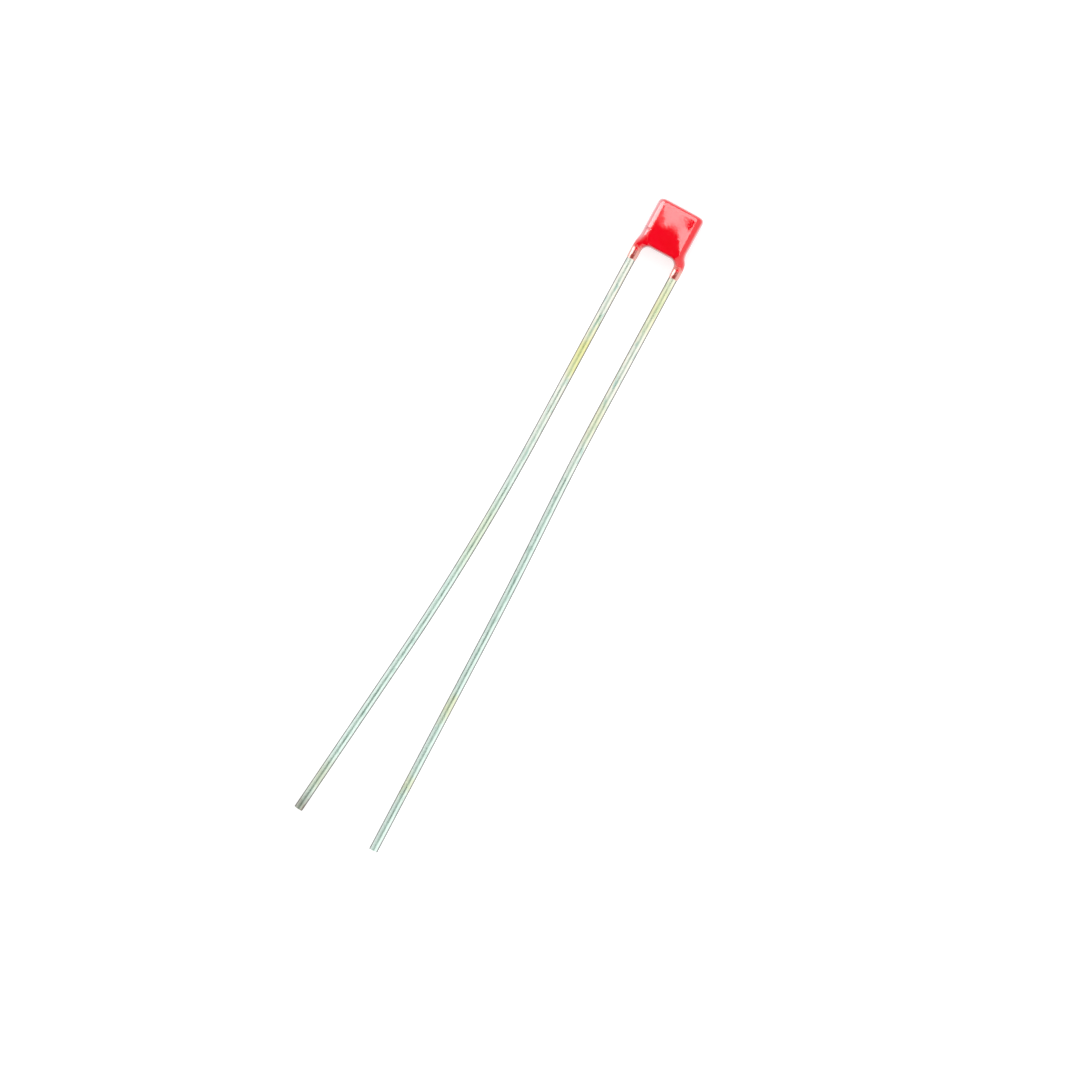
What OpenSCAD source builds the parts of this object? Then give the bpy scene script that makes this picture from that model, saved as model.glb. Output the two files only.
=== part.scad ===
// Small dipped film capacitor, lying on its face.
// A block of metallised film has sprayed metal on two ends, a tinned wire is welded to each end,
// and a skin of resin covers the block and runs a little way down the wires.
// The wires point along -Y, +Z is up, and the underside of the resin lies on z = 0.

/* [Film element] */
// Length of the film stack between its sprayed ends
film_l = 1.41; // [1.3:0.01:1.5]
// Height of the film stack along the wires
film_h = 2.2; // [1.9:0.05:2.8]
// Thickness of the film stack
film_t = 1.0; // [0.8:0.05:1.4]
// Thickness of each plain cover film
cover_t = 0.12; // [0.06:0.01:0.2]
// Thickness of the sprayed metal on each end
spray_t = 0.2; // [0.16:0.01:0.26]

/* [Resin coat] */
// Resin over each face of the element
face_coat = 0.23; // [0.16:0.01:0.35]
// Resin above the element
top_coat = 0.26; // [0.18:0.01:0.4]
// Resin between the element and the lower edge
low_coat = 0.3; // [0.2:0.01:0.4]
// Resin over the outer side of each welded wire
side_film = 0.07; // [0.05:0.01:0.12]
// Resin round the wires below the body
leg_film = 0.03; // [0.02:0.005:0.05]
// Resin left at the ragged end of each leg
lip_film = 0.012; // [0.008:0.002:0.016]
// Length over which a leg thins out to its end
lip_l = 0.25; // [0.1:0.05:0.4]
// Reach of the left leg below the lower edge
left_leg_l = 1.04; // [0.8:0.02:1.6]
// Reach of the right leg below the lower edge
right_leg_l = 0.93; // [0.8:0.02:1.6]
// Radius of the hollow between the lower edge and each leg
arch_r = 0.4; // [0.3:0.02:0.5]
// Width of the rounded margin along each side
side_edge_w = 0.34; // [0.26:0.02:0.4]
// Width of the rounded margin along the top
top_edge_w = 0.24; // [0.18:0.02:0.3]
// Width of the rounded margin along the lower edge
low_edge_w = 0.28; // [0.2:0.02:0.34]
// Angle round the hollow over which a leg swells to the full thickness
shoulder_angle = 64; // [50:1:70]

/* [Wires] */
// Diameter of the tinned wire
wire_d = 0.5; // [0.4:0.05:0.6]
// Depth that each wire is welded into its sprayed end
weld_sink = 0.105; // [0.05:0.005:0.14]
// Distance from the top of the element down to the end of each welded wire
weld_inset = 0.2; // [0.1:0.05:0.5]
// Distance between the centres of the wires below the body
lead_pitch = 2.54; // [2.44:0.02:2.7]
// Outward step of the left wire as it leaves the element
left_step = 0.14; // [0.06:0.02:0.3]
// Height above the lower edge at which the wires start to step outwards
kink_inset = 0.66; // [0.5:0.02:0.8]
// Chamfer round the cut end of each wire
tip_chamfer = 0.05; // [0.02:0.01:0.1]

/* [Left wire] */
// Reach of the left wire below the lower edge
left_l = 36.2; // [34:0.2:40]
// Straight stretch from the lower edge to the left bend
left_straight_l = 11.8; // [8:0.2:14]
// Length of the left bend
left_bend_l = 14.2; // [10:0.2:16]
// Outward angle of the left bend
left_bend_angle = 5.7; // [2:0.1:8]

/* [Right wire] */
// Reach of the right wire below the lower edge
right_l = 36.2; // [34:0.2:40]
// Straight stretch from the lower edge to the right bend
right_straight_l = 9.1; // [7:0.1:11]
// Length of the right bend
right_bend_l = 6; // [4:0.2:7]
// Outward angle of the right bend
right_bend_angle = 2; // [1:0.1:3]
// Straight stretch between the right bend and the one that turns it back
right_mid_l = 1.6; // [0.6:0.2:3]
// Length of the bend that turns the right wire back
right_back_l = 6.6; // [4:0.2:8]
// Angle by which it turns back
right_back_angle = 1.4; // [0.5:0.1:2]

/* [Hidden] */
$fn = 64;

LEFT = -1;
RIGHT = 1;
SLIGHT = 10; // a bend of fewer degrees than this is drawn with more steps to the circle

// The element, centred on x = 0
block_l = film_l + 2 * spray_t;
block_t = film_t + 2 * cover_t;
body_t = block_t + 2 * face_coat;
body_h = film_h + low_coat + top_coat;
top_y = body_h / 2;
low_y = -body_h / 2;
block_y = low_y + low_coat;
mid_z = body_t / 2;

// The wires: welded centres, and the step out to the pitch
wire_r = wire_d / 2;
weld_x = block_l / 2 - weld_sink + wire_r;
right_step = lead_pitch - 2 * weld_x - left_step;
weld_top_y = block_y + film_h - weld_inset;
kink_y = low_y + kink_inset;
kink_l = kink_inset + arch_r; // the step ends level with the middle of the hollow
hollow_y = low_y - arch_r;
tip_drop = mid_z - wire_r; // the tips come down to the surface that the body lies on

// How finely the coat is drawn
EDGE_STEPS = 7;
FACE_STEPS = 3;
LEG_STEPS = 4;
FAN_STEPS = 14;
CORNER_STEPS = 5;
TOP_STEPS = 3;

function step_of(side) = side == LEFT ? left_step : right_step;
function leg_end_y(side) = low_y - (side == LEFT ? left_leg_l : right_leg_l);
function clamp01(t) = min(max(t, 0), 1);
function ease(t) = clamp01(t) * clamp01(t) * (3 - 2 * clamp01(t));
function mix(a, b, t) = a + (b - a) * t;

// ---- The wires' step, as two equal arcs that turn out and back ----
function kink_a(step) = 2 * atan(abs(step) / kink_l);
function kink_r(step) = kink_l / (2 * sin(kink_a(step)));
function into_kink(y) = clamp01((kink_y - y) / kink_l) * kink_l;
function nearer_end(y) = min(into_kink(y), kink_l - into_kink(y));
function arc_rise(step, y) = kink_r(step) - sqrt(pow(kink_r(step), 2) - pow(nearer_end(y), 2));
function stepped(step, y) =
    step == 0 ? 0 :
    into_kink(y) < kink_l / 2 ? arc_rise(step, y) : abs(step) - arc_rise(step, y);
function lean(step, y) = step == 0 ? 0 : asin(nearer_end(y) / kink_r(step));
function wire_x(side, y) = weld_x + sign(step_of(side)) * stepped(step_of(side), y);

// ---- The coat's outline, drawn for one side with x growing outwards ----
function leg_x(side) = wire_x(side, hollow_y);
function film_at(side, y) =
    y > hollow_y
        ? mix(side_film, leg_film, ease(into_kink(y) / kink_l))
        : mix(lip_film, leg_film, ease((y - leg_end_y(side)) / lip_l));
function coat_r(side, y) = wire_r + film_at(side, y);
function outer_x(side, y) = wire_x(side, y) + coat_r(side, y) / cos(lean(step_of(side), y));
function inner_x(side, y) = leg_x(side) - coat_r(side, y);
function hollow_x(side) = leg_x(side) - wire_r - leg_film - arch_r;

// Angle round the hollow, from 0 across the leg to 90 straight up into the body
function fan_a(side, p) =
    p.y <= hollow_y ? 0 : p.x <= hollow_x(side) ? 90 : atan2(p.y - hollow_y, p.x - hollow_x(side));
function swell(side, p) = ease(fan_a(side, p) / shoulder_angle);

// Distance in from the lower edge, the hollow or the leg's inner side
function inner_depth(side, p) =
    p.y <= hollow_y ? p.x - inner_x(side, p.y) :
    p.x <= hollow_x(side) ? p.y - low_y :
    norm(p - [hollow_x(side), hollow_y]) - arch_r;
function outer_depth(side, p) = (outer_x(side, p.y) - p.x) * cos(lean(step_of(side), p.y));

// Half the coat's thickness at a point: round on the legs, flat on the faces, rounded at each margin
function side_margin(side, p) = mix(coat_r(side, min(p.y, hollow_y)), side_edge_w, swell(side, p));
function low_margin(side, p) = mix(coat_r(side, min(p.y, hollow_y)), low_edge_w, swell(side, p));
function past(depth, margin) = max(1 - depth / margin, 0);
function roundness(u, v) = sqrt(max(1 - u * u - v * v, 0));
function half_t(side, p) =
    mix(coat_r(side, min(p.y, hollow_y)), body_t / 2, swell(side, p))
        * roundness(past(outer_depth(side, p), side_margin(side, p)), past(top_y - p.y, top_edge_w))
        * roundness(past(inner_depth(side, p), low_margin(side, p)), 0);

// ---- Stations along the arch: the ends of a line across it, each with the inner end of its margin ----
NEARLY_HALF = 0.8; // share of a leg's radius that its two margins take, so that they never meet
NEARLY_ALL = 0.97; // share of a margin beside a corner, where the margins share one centre

function station(inner, inner_end, outer, outer_end) = [inner, inner_end, outer_end, outer];

function leg_stations(side) = [
    for (i = [0 : LEG_STEPS - 1])
        let (
            y = mix(leg_end_y(side), hollow_y, i / LEG_STEPS),
            reach = NEARLY_HALF * [coat_r(side, y), 0],
            inner = [inner_x(side, y), y],
            outer = [outer_x(side, y), y]
        )
        station(inner, inner + reach, outer, outer - reach)
];

// Round the hollow on the inside, and up the side on the outside
function fan_stations(side) = [
    for (i = [0 : FAN_STEPS])
        let (
            t = i / FAN_STEPS,
            share = mix(NEARLY_HALF, NEARLY_ALL, t),
            inwards = [cos(90 * t), sin(90 * t)],
            y = mix(hollow_y, top_y - top_edge_w, pow(t, 1.5)),
            slope = sign(step_of(side)) * lean(step_of(side), y),
            inner = [hollow_x(side), hollow_y] + arch_r * inwards,
            outer = [outer_x(side, y), y]
        )
        station(
            inner,
            inner + share * low_margin(side, inner) * inwards,
            outer,
            outer - share * side_margin(side, outer) * [cos(slope), sin(slope)]
        )
];

function along_low_edge(side, i) = [mix(hollow_x(side), 0, i / (CORNER_STEPS + TOP_STEPS)), low_y];
CORNER = [weld_x + wire_r + side_film - side_edge_w, top_y - top_edge_w];

function corner_stations(side) = [
    for (i = [1 : CORNER_STEPS])
        let (
            a = 90 * i / CORNER_STEPS,
            inner = along_low_edge(side, i),
            out = [side_edge_w * cos(a), top_edge_w * sin(a)]
        )
        station(inner, inner + [0, low_edge_w], CORNER + out, CORNER + (1 - NEARLY_ALL) * out)
];
function top_stations(side) = [
    for (i = [1 : TOP_STEPS - 1])
        let (
            inner = along_low_edge(side, CORNER_STEPS + i),
            outer = [mix(CORNER.x, 0, i / TOP_STEPS), top_y]
        )
        station(inner, inner + [0, low_edge_w], outer, outer - [0, top_edge_w])
];
function stations(side) =
    concat(leg_stations(side), fan_stations(side), corner_stations(side), top_stations(side));
MIDDLE = station([0, low_y], [0, low_y + low_edge_w], [0, top_y], [0, top_y - top_edge_w]);

// ---- A ring round the coat at one station: over the upper face and back under the lower one ----
function along_margin(edge, end, k) = mix(edge, end, 1 - cos(90 * k / EDGE_STEPS));
function ring_line(s) =
    concat(
        [for (k = [0 : EDGE_STEPS]) along_margin(s[0], s[1], k)],
        [for (k = [1 : FACE_STEPS - 1]) mix(s[1], s[2], k / FACE_STEPS)],
        [for (k = [EDGE_STEPS : -1 : 0]) along_margin(s[3], s[2], k)]
    );
function ring(side, s) =
    let (line = ring_line(s), last = len(line) - 1)
    concat(
        [for (p = line) [side * p.x, p.y, mid_z + half_t(side, p)]],
        [for (k = [last - 1 : -1 : 1]) [side * line[k].x, line[k].y, mid_z - half_t(side, line[k])]]
    );
function backwards(list) = [for (i = [len(list) - 1 : -1 : 0]) list[i]];

module arch_of_resin() {
    rings = concat(
        [for (s = stations(LEFT)) ring(LEFT, s)],
        [ring(RIGHT, MIDDLE)],
        backwards([for (s = stations(RIGHT)) ring(RIGHT, s)])
    );
    around = len(rings[0]);
    last = len(rings) - 1;
    skin = [
        for (i = [0 : last - 1], k = [0 : around - 1])
            let (
                here = i * around + k,
                beside = i * around + (k + 1) % around,
                ahead = here + around,
                across = beside + around
            )
            each [[here, beside, across], [here, across, ahead]]
    ];
    first_cap = [for (k = [around - 1 : -1 : 0]) k];
    last_cap = [for (k = [0 : around - 1]) last * around + k];
    polyhedron(
        points = [for (r = rings, p = r) p],
        faces = concat(skin, [first_cap, last_cap])
    );
}

// ---- Wires, as a chain of runs; each run starts at the origin, points along +Z and carries the next ----
function thousandths(v) = round(v * 1000) / 1000;

// Moves by v in two steps, to the nearest thousandth and then the rest, so that runs meet exactly
module move_on(v) {
    nearest = [for (c = v) thousandths(c)];
    translate(nearest) translate(v - nearest) children();
}

module straight_run(l) {
    cylinder(h = l, d = wire_d);
    move_on([0, 0, l]) children();
}

// A bend through the angle a towards +X, with the circle's seam on the inside of the bend
module arc(r, a) {
    translate([r, 0, 0])
        mirror([1, 0, 0])
            rotate([90, 0, 0])
                rotate_extrude(angle = a, $fn = a < SLIGHT ? 720 : 128)
                    translate([r, 0]) rotate(180) circle(d = wire_d);
}

// A bend over the length l, towards the direction that roll gives, where 0 is +X
module bend_run(l, a, roll) {
    turn = thousandths(a);
    r = thousandths(l / (turn * PI / 180));
    rotate([0, 0, roll]) {
        arc(r, turn);
        move_on([r * (1 - cos(turn)), 0, r * sin(turn)])
            rotate([0, turn, 0])
                rotate([0, 0, -roll]) children();
    }
}

// A step sideways in two equal arcs, the second one the first turned end for end
module step_run(step) {
    turn = thousandths(kink_a(step));
    if (turn > 0) {
        r = thousandths(kink_r(step));
        half_step = [r * (1 - cos(turn)), 0, r * sin(turn)];
        rotate([0, 0, step < 0 ? 180 : 0]) {
            arc(r, turn);
            move_on(2 * half_step) {
                rotate([0, 180, 0]) arc(r, turn);
                rotate([0, 0, step < 0 ? 180 : 0]) children();
            }
        }
    } else {
        straight_run(kink_l) children();
    }
}

// One long bend that takes the wire outwards and also down to the surface that the body lies on
module falling_bend(l, out_a, after_l) {
    down_a = tip_drop / (l / 2 + after_l) * 180 / PI;
    bend_run(l, norm([out_a, down_a]), -atan2(down_a, out_a)) children();
}

module cut_tip() {
    cylinder(h = tip_chamfer, d1 = wire_d, d2 = wire_d - 2 * tip_chamfer);
}

// A wire from the place where its step ends: the free wire runs down along -Y and the welded end runs up
// into the coat; x grows outwards
module from_pitch(side) {
    translate([leg_x(side), hollow_y, mid_z]) {
        rotate([90, 0, 0]) children();
        rotate([-90, 0, 0]) step_run(-step_of(side)) straight_run(weld_top_y - kink_y);
    }
}

module left_wire() {
    after_l = left_l - left_straight_l - left_bend_l;
    mirror([1, 0, 0])
        from_pitch(LEFT)
            straight_run(left_straight_l - arch_r)
                falling_bend(left_bend_l, left_bend_angle, after_l)
                    straight_run(after_l - tip_chamfer)
                        cut_tip();
}

module right_wire() {
    end_l = right_l - right_straight_l - right_bend_l - right_mid_l - right_back_l;
    from_pitch(RIGHT)
        straight_run(right_straight_l - arch_r)
            falling_bend(right_bend_l, right_bend_angle, right_mid_l + right_back_l + end_l)
                straight_run(right_mid_l)
                    bend_run(right_back_l, right_back_angle, 180)
                        straight_run(end_l - tip_chamfer)
                            cut_tip();
}

// A slab of the element, from its lower end upwards
module slab(l, t) {
    translate([-l / 2, block_y, -t / 2]) cube([l, film_h, t]);
}

// ---- The pieces ----
module epoxy_coat() {
    color("crimson")
        difference() {
            arch_of_resin();
            translate([0, 0, mid_z]) slab(block_l, block_t);
            left_wire();
            right_wire();
        }
}

module film_stack() {
    color("lightgray") translate([0, 0, mid_z]) slab(film_l, film_t);
}

module cover_film(up) {
    color("honeydew") translate([0, 0, mid_z + up * (film_t + cover_t) / 2]) slab(film_l, cover_t);
}

module end_spray(side) {
    color("darkgray")
        difference() {
            translate([side * (film_l + spray_t) / 2, 0, mid_z]) slab(spray_t, block_t);
            if (side == LEFT) left_wire();
            if (side == RIGHT) right_wire();
        }
}

module lead_left() {
    color("gainsboro") left_wire();
}

module lead_right() {
    color("gainsboro") right_wire();
}

epoxy_coat();
film_stack();
cover_film(1);  // cover_film_upper
cover_film(-1);  // cover_film_lower
end_spray(LEFT);  // end_spray_left
end_spray(RIGHT);  // end_spray_right
lead_left();
lead_right();
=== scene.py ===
import math

import bpy
from mathutils import Euler, Matrix, Vector, noise


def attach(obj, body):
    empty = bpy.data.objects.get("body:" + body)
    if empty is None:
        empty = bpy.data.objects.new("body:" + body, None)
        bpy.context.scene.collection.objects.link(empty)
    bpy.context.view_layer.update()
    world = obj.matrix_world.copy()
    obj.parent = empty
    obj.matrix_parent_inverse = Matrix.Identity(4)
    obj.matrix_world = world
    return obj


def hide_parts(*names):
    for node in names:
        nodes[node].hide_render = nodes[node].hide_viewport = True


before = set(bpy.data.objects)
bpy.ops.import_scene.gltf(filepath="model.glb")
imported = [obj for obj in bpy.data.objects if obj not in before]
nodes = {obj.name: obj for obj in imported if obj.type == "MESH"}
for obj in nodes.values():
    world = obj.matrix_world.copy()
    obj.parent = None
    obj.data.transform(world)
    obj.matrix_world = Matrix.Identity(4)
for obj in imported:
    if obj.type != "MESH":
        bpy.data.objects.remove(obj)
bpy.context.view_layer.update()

mm = 0.001


# A soft step from 0 to 1
def ease(t):
    t = min(max(t, 0.0), 1.0)
    return t * t * (3 - 2 * t)


def mix(a, b, t):
    return a + (b - a) * t


# Short ways to build node trees
def addNode(tree, kind, sockets=None, **settings):
    made = tree.nodes.new(kind)
    for name, value in settings.items():
        setattr(made, name, value)
    for name, value in (sockets or {}).items():
        made.inputs[name].default_value = value
    return made


def wireUp(tree, *pairs):
    for start, end in pairs:
        tree.links.new(start, end)


def startMaterial(name):
    material = bpy.data.materials.new(name)
    material.use_nodes = True
    tree = material.node_tree
    tree.nodes.clear()
    shader = addNode(tree, "ShaderNodeBsdfPrincipled")
    output = addNode(tree, "ShaderNodeOutputMaterial")
    place = addNode(tree, "ShaderNodeTexCoord").outputs["Object"]
    wireUp(tree, (shader.outputs["BSDF"], output.inputs["Surface"]))
    return material, tree, shader, place


# Noise on a piece's own coordinates, stretched by (x, y, z) repeats for each millimetre
def addNoise(tree, place, repeats, detail=2.0, roughness=0.5, shift=(0, 0, 0)):
    mapping = addNode(tree, "ShaderNodeMapping")
    mapping.inputs["Scale"].default_value = [r / mm for r in repeats]
    mapping.inputs["Location"].default_value = shift
    field = addNode(tree, "ShaderNodeTexNoise", {"Scale": 1.0, "Detail": detail, "Roughness": roughness})
    wireUp(tree, (place, mapping.inputs["Vector"]), (mapping.outputs["Vector"], field.inputs["Vector"]))
    return field.outputs["Fac"]


def addRamp(tree, fac, *stops):
    ramp = addNode(tree, "ShaderNodeValToRGB")
    marks = ramp.color_ramp.elements
    while len(marks) < len(stops):
        marks.new(0.5)
    for mark, (where, colour) in zip(marks, stops):
        mark.position = where
        mark.color = (*colour, 1)
    wireUp(tree, (fac, ramp.inputs["Fac"]))
    return ramp.outputs["Color"]


def addMix(tree, fac, first, second, blend="MIX"):
    node = addNode(tree, "ShaderNodeMix", data_type="RGBA", blend_type=blend)
    places = {"fac": node.inputs[0], "a": node.inputs[6], "b": node.inputs[7]}
    for key, value in (("fac", fac), ("a", first), ("b", second)):
        if isinstance(value, bpy.types.NodeSocket):
            tree.links.new(value, places[key])
        elif key == "fac":
            places[key].default_value = value
        else:
            places[key].default_value = (*value, 1)
    return node.outputs[2]


# Maps a value from one range to another, kept inside the second
def addRange(tree, value, low, high, toLow=0.0, toHigh=1.0, smooth=True):
    node = addNode(
        tree, "ShaderNodeMapRange",
        {"From Min": low, "From Max": high, "To Min": toLow, "To Max": toHigh},
        interpolation_type="SMOOTHSTEP" if smooth else "LINEAR", clamp=not smooth,
    )
    wireUp(tree, (value, node.inputs["Value"]))
    return node.outputs["Result"]


def addMath(tree, operation, first, second=None):
    node = addNode(tree, "ShaderNodeMath", operation=operation)
    for socket, value in zip(node.inputs, (first, second)):
        if isinstance(value, bpy.types.NodeSocket):
            tree.links.new(value, socket)
        elif value is not None:
            socket.default_value = value
    return node.outputs[0]


# How far the surface faces up: 1 on top, 0 on upright sides
def addUpwards(tree):
    parts = addNode(tree, "ShaderNodeSeparateXYZ")
    wireUp(tree, (addNode(tree, "ShaderNodeNewGeometry").outputs["Normal"], parts.inputs["Vector"]))
    return parts.outputs["Z"]


def addBump(tree, shader, height, distance, strength=1.0):
    bump = addNode(tree, "ShaderNodeBump", {"Strength": strength, "Distance": distance * mm})
    wireUp(tree, (height, bump.inputs["Height"]), (bump.outputs["Normal"], shader.inputs["Normal"]))
    return bump


# The two wires. Sizes in millimetres and degrees; each run's place follows from the one before
wires = {
    "diameter": 0.4885,
    "sides": 40,
    "spacing": 0.1,  # between the sweep's rings
    "tipRound": 0.07,  # how far back from the cut the edge is rounded
    "tipRings": 6,
    "weldRun": 1.64,
    "kinkRun": 1.06,
    "middle": 0.85,  # height of the body's mid-plane
    "pitchY": -1.78,  # where the step out to the pitch ends
    "left": {
        "x": 1.19, "step": 0.14, "straight": 11.4, "bend": 14.2, "out": 5.7,
        "after": [("straight", 10.2)],
    },
    "right": {
        "x": 1.35, "step": 0.3, "straight": 8.7, "bend": 6.0, "out": 2.0,
        "after": [("straight", 1.6), ("back", 6.6, 1.4), ("straight", 12.898)],
    },
}


def goStraight(walk, length):
    ahead = walk["turn"] @ Vector((0, 0, 1))
    count = max(1, round(length / wires["spacing"]))
    start = walk["at"].copy()
    walk["points"] += [start + ahead * length * i / count for i in range(1, count + 1)]
    walk["at"] = start + ahead * length


# An arc of that length and angle, towards the direction that roll gives
def goRound(walk, length, angle, roll):
    side = walk["turn"] @ Vector((math.cos(roll), math.sin(roll), 0))
    ahead = walk["turn"] @ Vector((0, 0, 1))
    radius = length / angle
    count = max(4, round(length / wires["spacing"]))
    start = walk["at"].copy()
    for i in range(1, count + 1):
        a = angle * i / count
        walk["points"].append(start + radius * ((1 - math.cos(a)) * side + math.sin(a) * ahead))
    walk["at"] = walk["points"][-1].copy()
    walk["turn"] = Matrix.Rotation(angle, 3, ahead.cross(side)) @ walk["turn"]


def startWalk(at, turnDegrees):
    return {"at": Vector(at), "turn": Euler((math.radians(turnDegrees), 0, 0)).to_matrix(), "points": []}


# Centre line from the welded end to the cut tip, with x outwards
def wirePath(sizes):
    start = (sizes["x"], wires["pitchY"], wires["middle"])
    up = startWalk(start, -90)
    angle = 2 * math.atan(sizes["step"] / wires["kinkRun"])
    arc = wires["kinkRun"] / (2 * math.sin(angle)) * angle
    goRound(up, arc, angle, math.pi)
    goRound(up, arc, angle, 0)
    goStraight(up, wires["weldRun"])
    down = startWalk(start, 90)
    goStraight(down, sizes["straight"])
    restLength = sum(run[1] for run in sizes["after"])
    drop = (wires["middle"] - wires["diameter"] / 2) / (sizes["bend"] / 2 + restLength)
    out = math.radians(sizes["out"])
    goRound(down, sizes["bend"], math.hypot(out, drop), -math.atan2(drop, out))
    for run in sizes["after"]:
        if run[0] == "straight":
            goStraight(down, run[1])
        else:
            goRound(down, run[1], math.radians(run[2]), math.pi)
    return up["points"][::-1] + [Vector(start)] + down["points"]


# Extra points at both ends, so that the rounded cut has rings to follow
def withFineEnds(points, reach, count):
    def fine(end, inner):
        ahead = (inner - end).normalized()
        return [end + ahead * reach * (i / count) ** 2 for i in range(count + 1)]

    first = fine(points[0], points[1])
    last = fine(points[-1], points[-2])[::-1]
    inside = [p for p in points[1:-1] if min((p - points[0]).length, (p - points[-1]).length) > reach * 1.2]
    return first + inside + last


# Sweeps a round section along the path, rounded at both cut ends
def makeWireTree():
    tree = bpy.data.node_groups.new("sweptWire", "GeometryNodeTree")
    face = tree.interface
    face.new_socket("Geometry", in_out="INPUT", socket_type="NodeSocketGeometry")
    face.new_socket("Wire diameter", in_out="INPUT", socket_type="NodeSocketFloat")
    face.new_socket("Sides", in_out="INPUT", socket_type="NodeSocketInt")
    face.new_socket("Tip rounding", in_out="INPUT", socket_type="NodeSocketFloat")
    face.new_socket("Finish", in_out="INPUT", socket_type="NodeSocketMaterial")
    face.new_socket("Geometry", in_out="OUTPUT", socket_type="NodeSocketGeometry")
    given = addNode(tree, "NodeGroupInput").outputs
    result = addNode(tree, "NodeGroupOutput")
    path = addNode(tree, "GeometryNodeMeshToCurve")
    along = addNode(tree, "GeometryNodeSplineParameter").outputs["Length"]
    whole = addNode(tree, "GeometryNodeSplineLength").outputs["Length"]
    toEnd = addMath(tree, "MINIMUM", along, addMath(tree, "SUBTRACT", whole, along))
    share = addMath(tree, "DIVIDE", toEnd, given["Tip rounding"])
    short = addMath(tree, "SUBTRACT", 1.0, addMath(tree, "MINIMUM", share, 1.0))
    level = addMath(tree, "SUBTRACT", 1.0, addMath(tree, "POWER", short, 2.0))
    fall = addMath(tree, "SUBTRACT", 1.0, addMath(tree, "SQRT", level))
    twice = addMath(tree, "MULTIPLY", given["Tip rounding"], 2.0)
    depth = addMath(tree, "DIVIDE", twice, given["Wire diameter"])
    scale = addMath(tree, "SUBTRACT", 1.0, addMath(tree, "MULTIPLY", fall, depth))
    setRadius = addNode(tree, "GeometryNodeSetCurveRadius")
    section = addNode(tree, "GeometryNodeCurvePrimitiveCircle")
    sweep = addNode(tree, "GeometryNodeCurveToMesh", {"Fill Caps": True})
    smooth = addNode(tree, "GeometryNodeSetShadeSmooth")
    realize = addNode(tree, "GeometryNodeRealizeInstances")
    finish = addNode(tree, "GeometryNodeSetMaterial")
    wireUp(
        tree,
        (given["Geometry"], path.inputs["Mesh"]),
        (path.outputs["Curve"], setRadius.inputs["Curve"]),
        (scale, setRadius.inputs["Radius"]),
        (addMath(tree, "MULTIPLY", given["Wire diameter"], 0.5), section.inputs["Radius"]),
        (given["Sides"], section.inputs["Resolution"]),
        (setRadius.outputs["Curve"], sweep.inputs["Curve"]),
        (section.outputs["Curve"], sweep.inputs["Profile Curve"]),
        (sweep.outputs["Mesh"], smooth.inputs["Geometry"]),
        (smooth.outputs["Geometry"], realize.inputs["Geometry"]),
        (realize.outputs["Geometry"], finish.inputs["Geometry"]),
        (given["Finish"], finish.inputs["Material"]),
        (finish.outputs["Geometry"], result.inputs["Geometry"]),
    )
    return tree


def linkObject(name, data):
    made = bpy.data.objects.new(name, data)
    bpy.context.scene.collection.objects.link(made)
    return made


# Runs a tree on a host object and leaves a plain mesh
def growFromTree(host, tree, inputs):
    modifier = host.modifiers.new("grow", "NODES")
    modifier.node_group = tree
    for item in tree.interface.items_tree:
        if item.item_type == "SOCKET" and item.in_out == "INPUT" and item.name in inputs:
            modifier[item.identifier] = inputs[item.name]
    bpy.context.view_layer.update()
    evaluated = host.evaluated_get(bpy.context.evaluated_depsgraph_get())
    grown = bpy.data.meshes.new_from_object(evaluated)
    host.modifiers.remove(modifier)
    old = host.data
    host.data = grown
    bpy.data.meshes.remove(old)
    return host


def makeWire(name, side, outward, tree, finish):
    points = withFineEnds(wirePath(side), wires["tipRound"], wires["tipRings"])
    placed = [Vector((outward * p.x, p.y, p.z)) * mm for p in points]
    mesh = bpy.data.meshes.new(name)
    mesh.from_pydata(placed, [(i, i + 1) for i in range(len(placed) - 1)], [])
    host = linkObject(name, mesh)
    return growFromTree(host, tree, {
        "Wire diameter": wires["diameter"] * mm,
        "Sides": wires["sides"],
        "Tip rounding": wires["tipRound"] * mm,
        "Finish": finish,
    })


# Tinned wire: pale and slightly green, with fine lines along it, yellowish patches, a dark tip on the left
# wire, painted shade along both shoulders and a painted reflection along the top. Each patch is (middle,
# reach, colour, share), with places along Y in millimetres. The pairs for shoulders and crest say how far the
# surface faces up where the colour starts and where it is full.
tin = {
    "cream": (1.0, 1.0, 0.90),
    "mint": (0.84, 0.98, 0.91),
    "shade": (0.66, 0.84, 0.76),
    "paintedShoulderShade": (0.10, 0.08, 0.08),  # painted shade: a dark line along both shoulders, where they would mirror the floor's shadow
    "upperShoulder": (0.76, 0.46),
    "lowerShoulder": (0.02, 0.16),
    "paintedCrestReflection": (0.86, 1.0, 0.93),  # painted reflection: a darker, greener line along the top, where it would mirror the dark overhead
    "crestFacing": (0.9, 0.99),
    "crestShare": 0.7,
    "mintFrom": (-9.0, -19.0),  # where along Y cream turns into mint
    "wander": 3.0,  # unevenness of the patches' borders
    "roughness": 0.31,
    "bump": 0.004,
}


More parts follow.
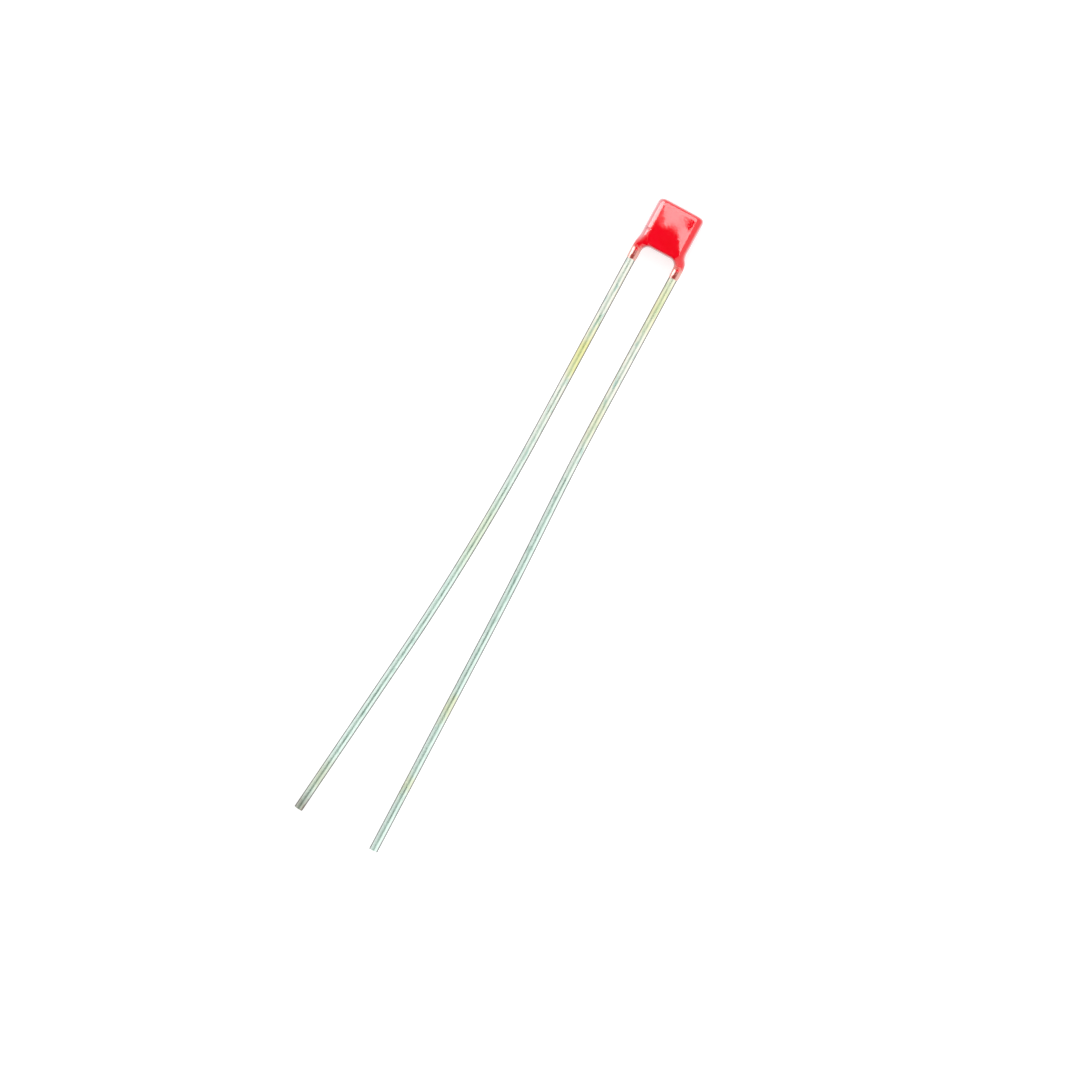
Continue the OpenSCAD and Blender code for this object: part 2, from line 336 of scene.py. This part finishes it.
def makeTin(name, patches):
    material, tree, shader, place = startMaterial(name)
    lines = addNoise(tree, place, (7, 1.3, 7), detail=2)
    cloud = addNoise(tree, place, (1.6, 0.9, 1.6), detail=4, roughness=0.6)
    along = addNode(tree, "ShaderNodeSeparateXYZ")
    wireUp(tree, (place, along.inputs["Vector"]))
    wander = addMath(tree, "MULTIPLY", addMath(tree, "SUBTRACT", cloud, 0.5), tin["wander"] * mm)
    where = addMath(tree, "ADD", along.outputs["Y"], wander)
    minted = addRange(tree, where, *[y * mm for y in tin["mintFrom"]])
    hue = addMix(tree, minted, tin["cream"], tin["mint"])
    colour = addMix(tree, addRange(tree, lines, 0.46, 0.34), hue, tin["shade"])
    for middle, reach, tint, most in patches:
        away = addMath(tree, "ABSOLUTE", addMath(tree, "SUBTRACT", where, middle * mm))
        colour = addMix(tree, addRange(tree, away, reach * 1.3 * mm, 0, 0, most), colour, tint)
    upwards = addUpwards(tree)
    # Painted reflection: a darker, greener line where the surface faces straight up
    paintedCrestReflection = addMath(tree, "MULTIPLY", addRange(tree, upwards, *tin["crestFacing"]), tin["crestShare"])
    colour = addMix(tree, paintedCrestReflection, colour, tin["paintedCrestReflection"], "MULTIPLY")
    # Painted shade: a dark line along both shoulders, from how far the surface faces up
    below = addRange(tree, upwards, *tin["upperShoulder"])
    shoulderShadeMask = addMath(tree, "MULTIPLY", below, addRange(tree, upwards, *tin["lowerShoulder"]))
    colour = addMix(tree, shoulderShadeMask, colour, tin["paintedShoulderShade"])
    roughness = addRange(tree, cloud, 0.3, 0.7, tin["roughness"] * 0.75, tin["roughness"] * 1.3)
    wireUp(tree, (colour, shader.inputs["Base Color"]), (roughness, shader.inputs["Roughness"]))
    shader.inputs["Metallic"].default_value = 1.0
    addBump(tree, shader, addMath(tree, "ADD", lines, addMath(tree, "MULTIPLY", cloud, 3.0)), tin["bump"])
    return material


yellow = (0.93, 0.90, 0.36)
straw = (0.88, 0.87, 0.50)
olive = (0.60, 0.60, 0.38)
brown = (0.24, 0.18, 0.11)
leftTin = makeTin("tinnedWireLeft", [
    (-8.1, 1.7, yellow, 0.85),
    (-19.5, 2.5, straw, 0.35),
    (-35.3, 1.3, olive, 0.55),
    (-38.0, 1.7, brown, 1.0),
])
rightTin = makeTin("tinnedWireRight", [
    (-4.0, 2.0, yellow, 0.55),
    (-11.0, 1.6, straw, 0.5),
    (-28.8, 0.8, straw, 0.6),
    (-33.6, 0.8, straw, 0.5),
])
wireTree = makeWireTree()
leftWire = makeWire("wire_left", wires["left"], -1, wireTree, leftTin)
rightWire = makeWire("wire_right", wires["right"], 1, wireTree, rightTin)
print("wires swept:", len(leftWire.data.polygons), len(rightWire.data.polygons))


# The resin coat. Sizes in millimetres. It is a loft of rings that run round an arch: from one leg's end up
# over the body and down the other leg.
coat = {
    "wireRadius": 0.25,
    "weldX": 1.05,
    "step": {-1: 0.14, 1: 0.3},
    "thickness": 1.7,
    "topY": 1.38,
    "lowY": -1.38,
    "kinkY": -0.72,
    "kinkRun": 1.06,
    "archRadius": 0.4,
    "legEnd": {-1: -2.42, 1: -2.31},
    "sideFilm": 0.07,
    "legFilm": 0.03,
    "thinY": -2.0,  # below this the film lets the wire show through
    "thinRun": 0.7,
    "lipFilm": 0.012,
    "lipRun": 0.25,
    "sideEdge": 0.6,
    "topEdge": 0.38,
    "lowEdge": 0.2,
    "edgePower": 3.2,  # how square the body's edges are: 2 is an ellipse
    "shoulder": 64,  # degrees round the arch in which the coat swells from a leg to the body
    "crown": 0.05,  # how far the lower face falls away towards the corners
    "highlightReach": {-1: 0.42, 1: 0.14},  # width of the painted highlight along the sides, left and right; the right one also serves the top
    "rag": 0.05,  # unevenness of the legs' ends
    "ragRun": 0.35,  # how far up the leg it is felt
    "archShadeReach": 0.2,  # width of the painted shade along the arch
    "bow": 0.075,  # how far the upper face has fallen away 2 mm from its middle
    # Shallow hollows that the resin left in the upper face as it ran. Each is (middle), (reach in X and Y)
    # and depth, which is below 0 for a swell.
    "hollows": [
        ((-0.1, -1.15), (0.75, 0.75), 0.04),  # over the arch
        ((1.0, 0.3), (0.5, 0.7), 0.035),  # beside the right edge
        ((-1.15, 0.2), (0.4, 1.5), 0.018),  # down the left edge
        ((0.15, 0.4), (0.4, 0.8), 0.01),  # in the middle
        ((-0.45, -0.3), (0.25, 0.5), -0.013),  # a swell left of the middle
        ((-1.45, 0.6), (0.3, 0.35), -0.014),  # a swell at the left edge
        ((0.6, 1.5), (0.4, 0.35), -0.02),  # a swell at the top edge
        ((1.1, -0.9), (0.35, 0.35), -0.018),  # a swell above the right leg
    ],
}
halfWidth = coat["weldX"] + coat["wireRadius"] + coat["sideFilm"]
hollowY = coat["lowY"] - coat["archRadius"]
middleZ = coat["thickness"] / 2
ringEdge = 0.34  # how far from the outline the finely spaced points reach
# Shares of a margin that the finely spaced points cover, on the legs and on the body
legShare = 0.8
bodyShare = 0.97


def kinkAngle(step):
    return 2 * math.atan(step / coat["kinkRun"])


def kinkRadius(step):
    return coat["kinkRun"] / (2 * math.sin(kinkAngle(step)))


def intoKink(y):
    return min(max((coat["kinkY"] - y) / coat["kinkRun"], 0), 1) * coat["kinkRun"]


def nearerEnd(y):
    return min(intoKink(y), coat["kinkRun"] - intoKink(y))


def wireX(side, y):
    step = coat["step"][side]
    radius = kinkRadius(step)
    rise = radius - math.sqrt(radius ** 2 - nearerEnd(y) ** 2)
    return coat["weldX"] + (rise if intoKink(y) < coat["kinkRun"] / 2 else step - rise)


def lean(side, y):
    return math.asin(nearerEnd(y) / kinkRadius(coat["step"][side]))


def filmAt(side, y):
    if y > hollowY:
        return mix(coat["sideFilm"], coat["legFilm"], ease(intoKink(y) / coat["kinkRun"]))
    return mix(coat["lipFilm"], coat["legFilm"], ease((y - coat["legEnd"][side]) / coat["lipRun"]))


def coatRadius(side, y):
    return coat["wireRadius"] + filmAt(side, y)


def outerX(side, y):
    return wireX(side, y) + coatRadius(side, y) / math.cos(lean(side, y))


def innerX(side, y):
    return wireX(side, hollowY) - coatRadius(side, y)


def hollowX(side):
    return wireX(side, hollowY) - coat["wireRadius"] - coat["legFilm"] - coat["archRadius"]


# How full the coat is at a point: 0 on the legs, 1 on the body
def swell(side, x, y):
    if y <= hollowY:
        angle = 0
    elif x <= hollowX(side):
        angle = 90
    else:
        angle = math.degrees(math.atan2(y - hollowY, x - hollowX(side)))
    return ease(angle / coat["shoulder"])


def innerDepth(side, x, y):
    if y <= hollowY:
        return x - innerX(side, y)
    if x <= hollowX(side):
        return y - coat["lowY"]
    return math.hypot(x - hollowX(side), y - hollowY) - coat["archRadius"]


def outerDepth(side, x, y):
    return (outerX(side, y) - x) * math.cos(lean(side, y))


def sideMargin(side, x, y):
    return mix(coatRadius(side, min(y, hollowY)), coat["sideEdge"], swell(side, x, y))


def lowMargin(side, x, y):
    return mix(coatRadius(side, min(y, hollowY)), coat["lowEdge"], swell(side, x, y))


def past(depth, margin):
    return max(1 - depth / margin, 0)


def roundness(u, v, power):
    return max(1 - u ** power - v ** power, 0) ** (1 / power)


def halfThickness(side, x, y):
    share = swell(side, x, y)
    power = mix(2, coat["edgePower"], share)
    full = mix(coatRadius(side, min(y, hollowY)), middleZ, share)
    overSide = past(outerDepth(side, x, y), sideMargin(side, x, y))
    overTop = past(coat["topY"] - y, coat["topEdge"])
    overArch = past(innerDepth(side, x, y), lowMargin(side, x, y))
    return full * roundness(overSide, overTop, power) * roundness(overArch, 0, power)


# How far the uneven surface lies below a flat one
def unevenness(x, y, upper):
    if not upper:
        return coat["crown"] * min((x / halfWidth) ** 2 + (y / coat["topY"]) ** 2, 2) / 2
    drop = coat["bow"] * (x ** 2 + y ** 2) / 4
    for (middleX, middleY), (reachX, reachY), depth in coat["hollows"]:
        drop += depth * math.exp(-((x - middleX) / reachX) ** 2 - ((y - middleY) / reachY) ** 2)
    return max(drop, 0)


# One station across the arch: from the inner edge to the outer one, each with the inner end of its margin
def station(inner, innerEnd, outer, outerEnd):
    return [Vector(inner), Vector(innerEnd), Vector(outerEnd), Vector(outer)]


def legStations(side, count):
    for i in range(count):
        y = mix(coat["legEnd"][side], hollowY, i / count)
        reach = legShare * coatRadius(side, y)
        inner, outer = innerX(side, y), outerX(side, y)
        yield station((inner, y), (inner + reach, y), (outer, y), (outer - reach, y))


def fanStations(side, count):
    for i in range(count + 1):
        t = i / count
        share = mix(legShare, bodyShare, t)
        inwards = Vector((math.cos(t * math.pi / 2), math.sin(t * math.pi / 2)))
        y = mix(hollowY, coat["topY"] - coat["topEdge"], t ** 1.5)
        slope = lean(side, y)
        across = Vector((math.cos(slope), math.sin(slope)))
        inner = Vector((hollowX(side), hollowY)) + coat["archRadius"] * inwards
        outer = Vector((outerX(side, y), y))
        outerReach = share * min(sideMargin(side, *outer), ringEdge)
        innerReach = share * lowMargin(side, *inner)
        yield station(inner, inner + innerReach * inwards, outer, outer - outerReach * across)


def crownStations(side, cornerCount, topCount):
    corner = Vector((halfWidth - coat["sideEdge"], coat["topY"] - coat["topEdge"]))
    squareness = 2 / coat["edgePower"]
    for i in range(1, cornerCount + topCount):
        inner = Vector((mix(hollowX(side), 0, i / (cornerCount + topCount)), coat["lowY"]))
        innerEnd = inner + Vector((0, coat["lowEdge"]))
        if i <= cornerCount:
            a = math.pi / 2 * i / cornerCount
            overX = coat["sideEdge"] * max(math.cos(a), 0) ** squareness
            overY = coat["topEdge"] * math.sin(a) ** squareness
            outer = corner + Vector((overX, overY))
            inwards = Vector((-math.cos(a), -math.sin(a)))
            reach = mix(ringEdge, coat["topEdge"], i / cornerCount)
            yield station(inner, innerEnd, outer, outer + reach * inwards)
        else:
            outer = Vector((mix(corner.x, 0, (i - cornerCount) / topCount), coat["topY"]))
            yield station(inner, innerEnd, outer, outer - Vector((0, coat["topEdge"])))


# How many points or rings each stretch of the coat gets
detail = {"edge": 16, "face": 34, "leg": 22, "fan": 64, "corner": 22, "top": 16}


def ringLine(marks):
    inner, innerEnd, outerEnd, outer = marks
    edge, face = detail["edge"], detail["face"]
    line = [inner.lerp(innerEnd, 1 - math.cos(math.pi / 2 * k / edge)) for k in range(edge + 1)]
    line += [innerEnd.lerp(outerEnd, k / face) for k in range(1, face)]
    return line + [outer.lerp(outerEnd, 1 - math.cos(math.pi / 2 * k / edge)) for k in range(edge, -1, -1)]


def ring(side, marks):
    line = ringLine(marks)
    over, under = [], []
    for p in line:
        half = halfThickness(side, p.x, p.y)
        full = swell(side, p.x, p.y)
        x = side * p.x
        share = full * min(half / middleZ, 1)
        over.append((x, p.y, middleZ + half - share * unevenness(x, p.y, True)))
        under.append((x, p.y, middleZ - half + share * unevenness(x, p.y, False)))
    return over + under[-2:0:-1]


# Pulls the ring at a leg's end up by an uneven amount, so that the film ends in a ragged line
def ragged(points, side):
    end = coat["legEnd"][side]
    centre = wireX(side, hollowY) * side
    moved = []
    for x, y, z in points:
        near = ease(1 - (y - end) / coat["ragRun"])
        around = math.atan2(z - middleZ, x - centre)
        lift = 0.5 + 0.5 * noise.noise(Vector((math.cos(around) * 1.7, math.sin(around) * 1.7, 3.1 * side)))
        moved.append((x, y + near * coat["rag"] * lift, z))
    return moved


# 1 where the film over the wires is thin enough to show them
def filmThinness(x, y, z):
    return 1 - ease((y - coat["thinY"]) / coat["thinRun"])


# 1 along the body's sides and top, where a highlight is painted, widest on the left
def highlightNearness(x, y, z):
    side = -1 if x < 0 else 1
    reach = coat["highlightReach"][side]
    nearSide = 1 - ease(outerDepth(side, abs(x), y) / reach)
    nearTop = 1 - ease((coat["topY"] - y) / coat["highlightReach"][1])
    return max(nearSide * ease((y + 1.5) / 0.6), nearTop * 0.6)


# 1 along the arch, where shade is painted
def archShadeNearness(x, y, z):
    side = -1 if x < 0 else 1
    return (1 - ease(innerDepth(side, abs(x), y) / coat["archShadeReach"])) * ease((y - coat["lowY"] + 0.5) / 0.4)


def makeCoat():
    rings = []
    for side in (-1, 1):
        marks = [*legStations(side, detail["leg"]), *fanStations(side, detail["fan"]),
                 *crownStations(side, detail["corner"], detail["top"])]
        sideRings = [ragged(ring(side, m), side) for m in marks]
        if side == -1:
            middle = station((0, coat["lowY"]), (0, coat["lowY"] + coat["lowEdge"]),
                             (0, coat["topY"]), (0, coat["topY"] - coat["topEdge"]))
            rings = sideRings + [ring(1, middle)]
        else:
            rings += sideRings[::-1]
    around = len(rings[0])
    faces = []
    for start in range(0, (len(rings) - 1) * around, around):
        after = start + around
        for k in range(around):
            beside = (k + 1) % around
            faces.append((start + k, after + k, after + beside, start + beside))
    last = (len(rings) - 1) * around
    faces.append(tuple(range(around)))
    faces.append(tuple(last + k for k in range(around - 1, -1, -1)))
    mesh = bpy.data.meshes.new("resin_coat")
    mesh.from_pydata([Vector(p) * mm for r in rings for p in r], [], faces)
    mesh.shade_smooth()
    points = [p for r in rings for p in r]
    for name, rule in (("thin", filmThinness), ("edge", highlightNearness), ("archShade", archShadeNearness)):
        mesh.attributes.new(name, "FLOAT", "POINT").data.foreach_set("value", [rule(*p) for p in points])
    return linkObject("resin_coat", mesh)


resin = {
    "red": (1.0, 0.0, 0.014),
    "deep": (0.95, 0.0, 0.008),
    "paintedEdgeHighlight": (0.98, 0.46, 0.50),  # painted highlight along the body's sides and top
    "paintedArchShade": (0.55, 0.0, 0.012),  # painted shade along the arch, for its shadowed lower face
    "overWire": (0.90, 0.45, 0.38),  # where the film is so thin that the wire shows through
    "paintedLegReflection": (0.42, 0.06, 0.045),  # painted reflection: darker along the top of the legs, where they would mirror the dark overhead
    "roughness": 0.07,
    "pip": (0.63, -0.31, 1.69),  # a speck under the film, its reach and its height
    "pipReach": 0.1,
    "pipHeight": 0.9,
    "wrinkleY": -0.38,
    "wrinkleX": (-0.95, -1.2),  # where it begins and where it is full, here and in height
    "wrinkleZ": (1.2, 1.45),
    "wrinkleReach": 0.09,
    "wrinkleDepth": 5.0,
    "bump": 0.014,  # millimetres for a height of 1
}


# A small raised speck and a short wrinkle across the left edge, as heights
def addMarks(tree, place):
    speck = addNode(tree, "ShaderNodeVectorMath", operation="DISTANCE")
    speck.inputs[1].default_value = [c * mm for c in resin["pip"]]
    parts = addNode(tree, "ShaderNodeSeparateXYZ")
    wireUp(tree, (place, speck.inputs[0]), (place, parts.inputs["Vector"]))
    pip = addRange(tree, speck.outputs["Value"], resin["pipReach"] * mm, 0.0)
    wander = addMath(tree, "MULTIPLY", addNoise(tree, place, (4, 4, 4)), 0.25 * mm)
    where = addMath(tree, "ADD", parts.outputs["Y"], wander)
    away = addMath(tree, "ABSOLUTE", addMath(tree, "SUBTRACT", where, resin["wrinkleY"] * mm))
    near = addRange(tree, parts.outputs["X"], *[x * mm for x in resin["wrinkleX"]])
    high = addRange(tree, parts.outputs["Z"], *[z * mm for z in resin["wrinkleZ"]])
    line = addRange(tree, away, resin["wrinkleReach"] * mm, 0.0)
    wrinkle = addMath(tree, "MULTIPLY", line, addMath(tree, "MULTIPLY", near, high))
    raised = addMath(tree, "MULTIPLY", pip, resin["pipHeight"])
    return addMath(tree, "SUBTRACT", raised, addMath(tree, "MULTIPLY", wrinkle, resin["wrinkleDepth"]))


def makeResin():
    material, tree, shader, place = startMaterial("dippedRedResin")
    slow = addNoise(tree, place, (1.1, 1.1, 1.1), detail=3, roughness=0.55)
    middling = addNoise(tree, place, (3.2, 3.2, 3.2), detail=2)
    fine = addNoise(tree, place, (9, 9, 9), detail=2)
    thin = addNode(tree, "ShaderNodeAttribute", attribute_name="thin").outputs["Fac"]
    worn = addMath(tree, "MULTIPLY", addMath(tree, "SUBTRACT", fine, 0.5), 0.8)
    edge = addRange(tree, addMath(tree, "ADD", thin, worn), 0.15, 0.95)
    red = addRamp(tree, slow, (0.3, resin["deep"]), (0.62, resin["red"]))
    # Painted highlight along the body's sides and top
    highlightMask = addNode(tree, "ShaderNodeAttribute", attribute_name="edge").outputs["Fac"]
    body = addMix(tree, addMath(tree, "MULTIPLY", highlightMask, 0.8), red, resin["paintedEdgeHighlight"])
    # Painted shade: darker red along the arch
    archShade = addNode(tree, "ShaderNodeAttribute", attribute_name="archShade").outputs["Fac"]
    body = addMix(tree, archShade, body, resin["paintedArchShade"])
    # Painted reflection: the thin film on the legs is darker where it faces straight up
    level = addMath(tree, "ADD", addUpwards(tree), addMath(tree, "MULTIPLY", worn, 0.06))
    paintedLegReflection = addMix(tree, addRange(tree, thin, 0.7, 1.0), resin["red"], resin["paintedLegReflection"])
    overWire = addMix(tree, addRange(tree, level, 0.88, 0.97), resin["overWire"], paintedLegReflection)
    roughness = addRange(tree, fine, 0.3, 0.7, resin["roughness"] * 0.7, resin["roughness"] * 1.5)
    wireUp(
        tree,
        (addMix(tree, edge, body, overWire), shader.inputs["Base Color"]),
        (addMath(tree, "MULTIPLY", edge, 0.12), shader.inputs["Metallic"]),
        (roughness, shader.inputs["Roughness"]),
    )
    shader.inputs["IOR"].default_value = 1.56
    shader.inputs["Coat Weight"].default_value = 0.5
    shader.inputs["Coat Roughness"].default_value = 0.04
    slowRipple = addMath(tree, "MULTIPLY", middling, 0.24)
    ripple = addMath(tree, "ADD", slowRipple, addMath(tree, "MULTIPLY", fine, 0.015))
    addBump(tree, shader, addMath(tree, "ADD", ripple, addMarks(tree, place)), resin["bump"])
    return material


resinCoat = makeCoat()
resinCoat.data.materials.append(makeResin())
print("coat lofted:", len(resinCoat.data.polygons))


# The element inside keeps its own solids and gets materials
def makeInner(name, light, dark, repeats, roughness, metallic, depth):
    material, tree, shader, place = startMaterial(name)
    grain = addNoise(tree, place, repeats, detail=5, roughness=0.6)
    wireUp(
        tree,
        (addRamp(tree, grain, (0.35, dark), (0.65, light)), shader.inputs["Base Color"]),
        (addRange(tree, grain, 0.3, 0.7, roughness * 0.8, roughness * 1.2), shader.inputs["Roughness"]),
    )
    shader.inputs["Metallic"].default_value = metallic
    addBump(tree, shader, grain, depth)
    return material


def dress(name, material):
    slots = nodes[name].data.materials
    slots.clear()
    slots.append(material)


filmMetal = makeInner(
    "metallisedFilm", (0.74, 0.75, 0.77), (0.55, 0.56, 0.6), (0.5, 0.5, 60), 0.35, 0.6, 0.004)
plainFilm = makeInner(
    "plainCoverFilm", (0.86, 0.88, 0.82), (0.78, 0.8, 0.73), (2, 2, 2), 0.25, 0.0, 0.002)
sprayMetal = makeInner(
    "sprayedZinc", (0.56, 0.56, 0.58), (0.36, 0.36, 0.38), (22, 22, 22), 0.75, 0.8, 0.03)
dress("film_stack", filmMetal)
dress("cover_film_upper", plainFilm)
dress("cover_film_lower", plainFilm)
dress("end_spray_left", sprayMetal)
dress("end_spray_right", sprayMetal)
print("element dressed")


for piece, node, slot in (
    (resinCoat, "epoxy_coat", "epoxy_coat"),
    (leftWire, "lead_left", "tinned_wire"),
    (rightWire, "lead_right", "tinned_wire"),
):
    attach(piece, "root")
    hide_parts(node)


# Floor, light and camera
studio = {
    "floorSize": 1.2,
    "floorColour": 0.58,
    "floorDepth": 0.002,  # millimetres below the part, so that no faces share a plane
    "floorGlow": 0.62,  # for the camera, gloss and glass, so that the floor is white and keeps its shadow
    # What gloss sees of whoever looks at the part, who stands over it towards -Y. The ends of its soft
    # borders are shares of a direction's length.
    "darkest": 0.03,
    "darkTop": (0.07, 0.04),  # its border towards +Y
    "darkSide": (0.42, 0.25),
    "darkLow": (-0.12, -0.22),  # below this it reaches out to -X without end
    "lens": 200.0,
    "sensor": 36.0,
    "viewWidth": 59.08,  # millimetres across the whole picture, at the height viewHeight
    "viewHeight": 0.5,
    "viewCentre": (1.745, -18.275),
    "roll": 28.4,
    "lampHeight": 0.5,  # metres
}


# 1 for rays that show the background: from the camera, in gloss and through glass
def addSeenRays(tree):
    rays = addNode(tree, "ShaderNodeLightPath").outputs
    seen = addMath(tree, "MAXIMUM", rays["Is Camera Ray"], rays["Is Glossy Ray"])
    return addMath(tree, "MAXIMUM", seen, rays["Is Transmission Ray"]), rays["Is Camera Ray"]


def makeFloor():
    reach = studio["floorSize"] / 2
    below = -studio["floorDepth"] * mm
    corners = [(x * reach, y * reach, below) for x, y in ((-1, -1), (1, -1), (1, 1), (-1, 1))]
    mesh = bpy.data.meshes.new("floor")
    mesh.from_pydata(corners, [], [(0, 1, 2, 3)])
    floor = linkObject("floor", mesh)
    material, tree, shader = startMaterial("palePaper")[:3]
    shader.inputs["Base Color"].default_value = (*[studio["floorColour"]] * 3, 1)
    shader.inputs["Roughness"].default_value = 0.9
    shader.inputs["Specular IOR Level"].default_value = 0.0
    shader.inputs["Emission Color"].default_value = (1, 1, 1, 1)
    glow = addMath(tree, "MULTIPLY", addSeenRays(tree)[0], studio["floorGlow"])
    wireUp(tree, (glow, shader.inputs["Emission Strength"]))
    mesh.materials.append(material)


# An even white room. In gloss it has a dark part, overhead and towards -Y, with soft borders.
def makeWorld():
    world = bpy.data.worlds.new("paleRoom")
    world.use_nodes = True
    tree = world.node_tree
    tree.nodes.clear()
    direction = addNode(tree, "ShaderNodeSeparateXYZ")
    wireUp(tree, (addNode(tree, "ShaderNodeTexCoord").outputs["Generated"], direction.inputs["Vector"]))
    x, y = direction.outputs["X"], direction.outputs["Y"]
    narrow = addRange(tree, addMath(tree, "ABSOLUTE", x), *studio["darkSide"])
    overhead = addMath(tree, "MULTIPLY", narrow, addRange(tree, y, *studio["darkTop"]))
    lowDown = addRange(tree, y, *studio["darkLow"])
    low = addMath(tree, "MULTIPLY", lowDown, addRange(tree, x, *studio["darkSide"]))
    shaded = addMath(tree, "MAXIMUM", overhead, low)
    seen, camera = addSeenRays(tree)
    inGloss = addMath(tree, "MULTIPLY", shaded, addMath(tree, "SUBTRACT", seen, camera))
    strength = addRange(tree, inGloss, 0.0, 1.0, 1.0, studio["darkest"], smooth=False)
    background = addNode(tree, "ShaderNodeBackground", {"Color": (1, 1, 1, 1)})
    output = addNode(tree, "ShaderNodeOutputWorld")
    wireUp(
        tree,
        (strength, background.inputs["Strength"]),
        (background.outputs["Background"], output.inputs["Surface"]),
    )
    bpy.context.scene.world = world


# Softboxes overhead, seen only as reflections in the resin: (place towards +X and +Y) and (width, depth), all
# as shares of the lamps' height; turn in degrees; brightness, where white is 1
lamps = [
    ("backSoftbox", (0.1, 1.0), (0.9, 1.85), -9.0, 4.0),
    ("leftSoftbox", (-4.35, 0.45), (7.4, 2.6), 14.0, 6.5),
    ("frontSoftbox", (0.28, -0.46), (0.34, 0.32), 0.0, 4.5),
]


def makeLamp(name, place, spans, turn, brightness, lit):
    height = studio["lampHeight"]
    data = bpy.data.lights.new(name, "AREA")
    data.shape = "RECTANGLE"
    data.size, data.size_y = [s * height for s in spans]
    data.energy = brightness * math.pi * data.size * data.size_y
    lamp = linkObject(name, data)
    lamp.location = (place[0] * height, place[1] * height, height)
    lamp.rotation_euler = (0, 0, math.radians(turn))
    lamp.visible_camera = False
    lamp.visible_diffuse = False
    lamp.light_linking.receiver_collection = lit
    return lamp


# A dim softbox overhead for the wires alone, which lightens the streak along their lower part
wireLamp = ("wireSoftbox", (0.0, -0.23), (0.5, 0.3), 0.0, 0.28)
# A low softbox towards -Y for the wires alone, where the room's dark part would blacken them from behind
lowLamp = {"spans": (3.0, 1.2), "away": 0.8, "height": 0.55, "brightness": 1.0}  # sizes in metres


def makeLowLamp(lit):
    shares = [span / studio["lampHeight"] for span in lowLamp["spans"]]
    lamp = makeLamp("lowSoftbox", (0, 0), shares, 0, lowLamp["brightness"], lit)
    lamp.location = (0, -lowLamp["away"], lowLamp["height"])
    lamp.rotation_euler = (math.pi / 2, 0, 0)


def makeCamera():
    data = bpy.data.cameras.new("camera")
    data.sensor_width = studio["sensor"]
    data.lens = studio["lens"]
    data.clip_start, data.clip_end = 0.005, 20
    camera = linkObject("camera", data)
    distance = studio["viewWidth"] * studio["lens"] / studio["sensor"]
    camera.location = Vector((*studio["viewCentre"], distance + studio["viewHeight"])) * mm
    camera.rotation_euler = (0, 0, math.radians(studio["roll"]))
    bpy.context.scene.camera = camera


makeFloor()
makeWorld()
glossyPieces = bpy.data.collections.new("glossyPieces")
glossyPieces.objects.link(resinCoat)
for lamp in lamps:
    makeLamp(*lamp, glossyPieces)
metalPieces = bpy.data.collections.new("metalPieces")
metalPieces.objects.link(leftWire)
metalPieces.objects.link(rightWire)
makeLamp(*wireLamp, metalPieces)
makeLowLamp(metalPieces)
makeCamera()
bpy.context.scene.view_settings.view_transform = "Standard"
print("studio ready")
